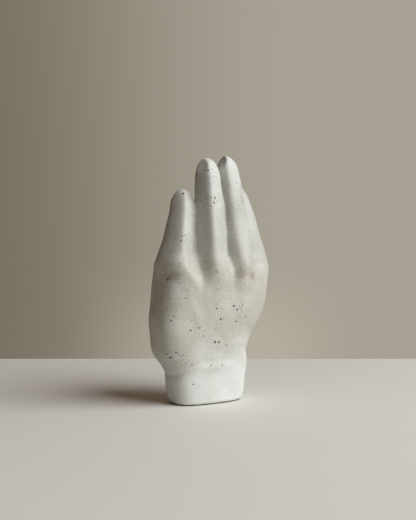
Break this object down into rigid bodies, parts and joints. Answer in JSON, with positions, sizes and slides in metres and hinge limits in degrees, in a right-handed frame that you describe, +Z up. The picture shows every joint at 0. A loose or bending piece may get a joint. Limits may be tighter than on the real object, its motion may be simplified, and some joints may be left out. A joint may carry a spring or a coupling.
{
  "type": "ceramic hand sculpture",
  "caption": "Hollow hand-built ceramic hand that stands upright on its wrist, fingers closed, thumb folded on the palm, in speckled white satin glaze over a flat unglazed foot.",
  "frame": {"origin": "middle of the flat foot, on the face that it rests on", "axes": "+Z up along the hand to the fingertips, back of the hand towards -Y, little finger towards -X, thumb towards +X"},
  "size_m": [0.1195, 0.0699, 0.2218],
  "materials": {
    "white_glaze": "satin",
    "bare_clay": "matte",
    "luting_slip": "matte"
  },
  "bodies": {
    "root": {"wrist_cuff": "white_glaze", "back_shell": "white_glaze", "palm_shell": "white_glaze", "knuckle_slab": "white_glaze", "little_finger": "white_glaze", "ring_finger": "white_glaze", "middle_finger": "white_glaze", "index_finger": "white_glaze", "thumb": "white_glaze", "floor_slab": "bare_clay", "cuff_slip": "luting_slip", "little_side_slip": "luting_slip", "thumb_side_slip": "luting_slip", "knuckle_slip": "luting_slip", "little_finger_slip": "luting_slip", "ring_finger_slip": "luting_slip", "middle_finger_slip": "luting_slip", "index_finger_slip": "luting_slip", "thumb_slip": "luting_slip"}
  },
  "joints": []
}
